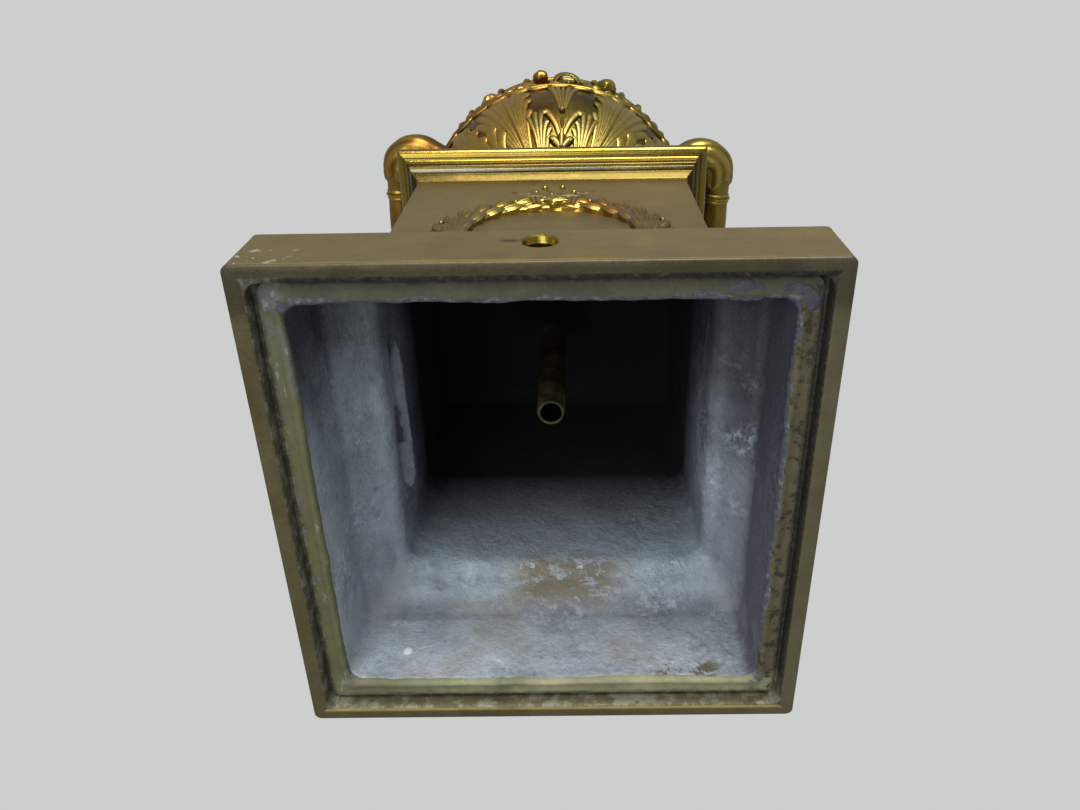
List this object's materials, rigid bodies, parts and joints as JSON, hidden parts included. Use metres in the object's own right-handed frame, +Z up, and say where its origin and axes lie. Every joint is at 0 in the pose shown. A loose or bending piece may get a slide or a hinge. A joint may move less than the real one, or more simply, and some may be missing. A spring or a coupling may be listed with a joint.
{
  "type": "mantel urn",
  "caption": "Gilt metal mantel urn with two looped handles and acanthus leaves, cast with a square hollow pedestal that carries a laurel wreath.",
  "frame": {"origin": "middle of the pedestal's underside", "axes": "+Z up through the urn, front with the wreath faces -Y"},
  "size_m": [0.1974, 0.16, 0.3903],
  "materials": {
    "pedestal_gilt": "satin, tarnished",
    "urn_gilt": "burnished, darkened in the hollows",
    "handle_gilt": "satin, worn",
    "pipe_brass": "dull"
  },
  "bodies": {
    "root": {"pedestal": "pedestal_gilt", "urn_body": "urn_gilt", "handle_left": "handle_gilt", "handle_right": "handle_gilt", "lamp_pipe": "pipe_brass"}
  },
  "joints": []
}
